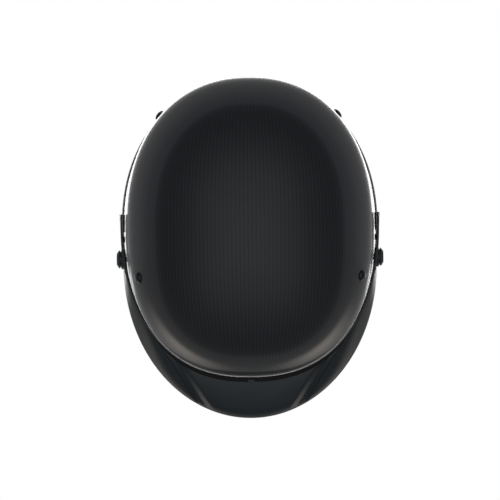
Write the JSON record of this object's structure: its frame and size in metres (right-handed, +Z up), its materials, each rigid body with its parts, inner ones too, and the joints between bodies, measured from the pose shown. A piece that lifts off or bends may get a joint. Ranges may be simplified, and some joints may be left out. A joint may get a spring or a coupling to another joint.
{
  "type": "motorcycle half helmet",
  "caption": "Carbon half helmet for motorcycling with a tilting peak held by thumbscrews, foam liner, comfort pads and a quick-release chin strap.",
  "frame": {"origin": "middle of the head opening, level with the rim at the nape", "axes": "+Z up, the wearer faces -Y, +X is the wearer's left"},
  "size_m": [0.2416, 0.3098, 0.2749],
  "materials": {
    "carbon": "satin clear coat over woven carbon fibre",
    "trim_rubber": "extruded black rubber",
    "eps_foam": "moulded expanded foam beads",
    "binding": "grained leatherette",
    "pad_cloth": "brushed knit over foam",
    "visor_plastic": "finely textured moulding",
    "buckle_plastic": "moulded nylon",
    "steel": "plated steel",
    "webbing": "woven polyester webbing",
    "tab_red": "woven red ribbon"
  },
  "bodies": {
    "helmet": {"outer_shell": "carbon", "edge_trim": "trim_rubber", "eps_liner": "eps_foam", "rim_binding": "binding", "brow_pad": "pad_cloth", "left_side_pad": "pad_cloth", "right_side_pad": "pad_cloth", "nape_pad": "pad_cloth", "crown_pad": "pad_cloth", "visor_inserts": "steel", "visor_spacers": "trim_rubber", "strap_rivets": "steel", "rivet_washers": "steel", "left_front_leg": "webbing", "left_rear_leg": "webbing", "right_front_leg": "webbing", "right_rear_leg": "webbing", "left_divider": "buckle_plastic", "right_divider": "buckle_plastic", "short_strap": "webbing", "buckle_housing": "buckle_plastic", "lever_pin": "steel", "lever_spring": "steel", "long_strap": "webbing", "chin_pad": "pad_cloth"},
    "visor": {"visor": "visor_plastic", "visor_bumpers": "trim_rubber"},
    "left_clamp": {"left_washer": "steel"},
    "left_thumbscrew": {"left_knob": "visor_plastic", "left_screw": "steel"},
    "right_clamp": {"right_washer": "steel"},
    "right_thumbscrew": {"right_knob": "visor_plastic", "right_screw": "steel"},
    "lever": {"buckle_lever": "steel", "release_tab": "tab_red"},
    "tongue": {"ratchet_tongue": "buckle_plastic"},
    "slider": {"strap_slider": "steel"},
    "keeper": {"strap_keeper": "trim_rubber"}
  },
  "joints": [
    {"name": "visor_tilt", "type": "hinge", "parent": "helmet", "child": "visor", "pos_m": [0, -0.0288, 0.038], "axis": [-1, 0, 0], "range_deg": [-10, 5]},
    {"name": "left_screw_travel", "type": "slide", "parent": "helmet", "child": "left_clamp", "axis": [1, 0, 0], "range_m": [0, 0.0016]},
    {"name": "left_knob_turn", "type": "hinge", "parent": "left_clamp", "child": "left_thumbscrew", "pos_m": [0.1176, -0.0288, 0.038], "axis": [1, 0, 0], "range_deg": [0, 720]},
    {"name": "right_screw_travel", "type": "slide", "parent": "helmet", "child": "right_clamp", "axis": [-1, 0, 0], "range_m": [0, 0.0016]},
    {"name": "right_knob_turn", "type": "hinge", "parent": "right_clamp", "child": "right_thumbscrew", "pos_m": [-0.1176, -0.0288, 0.038], "axis": [-1, 0, 0], "range_deg": [0, 720]},
    {"name": "lever_open", "type": "hinge", "parent": "helmet", "child": "lever", "pos_m": [0.07106, 0.014, -0.05957], "axis": [0, -1, 0], "range_deg": [0, 25], "stiffness_Nm_per_rad": 0.1, "springref_deg": -20.05, "deforming": ["lever_spring"]},
    {"name": "tongue_slide", "type": "slide", "parent": "helmet", "child": "tongue", "axis": [0.5034, 0, 0.8641], "range_m": [-0.0072, 0.0072], "deforming": ["long_strap"]},
    {"name": "slider_slide", "type": "slide", "parent": "helmet", "child": "slider", "axis": [-0.5034, 0, 0.8641], "range_m": [-0.005, 0.004]},
    {"name": "keeper_slide", "type": "slide", "parent": "helmet", "child": "keeper", "axis": [-0.5034, 0, 0.8641], "range_m": [-0.006, 0.006]}
  ],
  "couplings": [
    {"joint": "left_knob_turn", "follows": "left_screw_travel", "rad_per_m": 7854},
    {"joint": "right_knob_turn", "follows": "right_screw_travel", "rad_per_m": 7854}
  ]
}
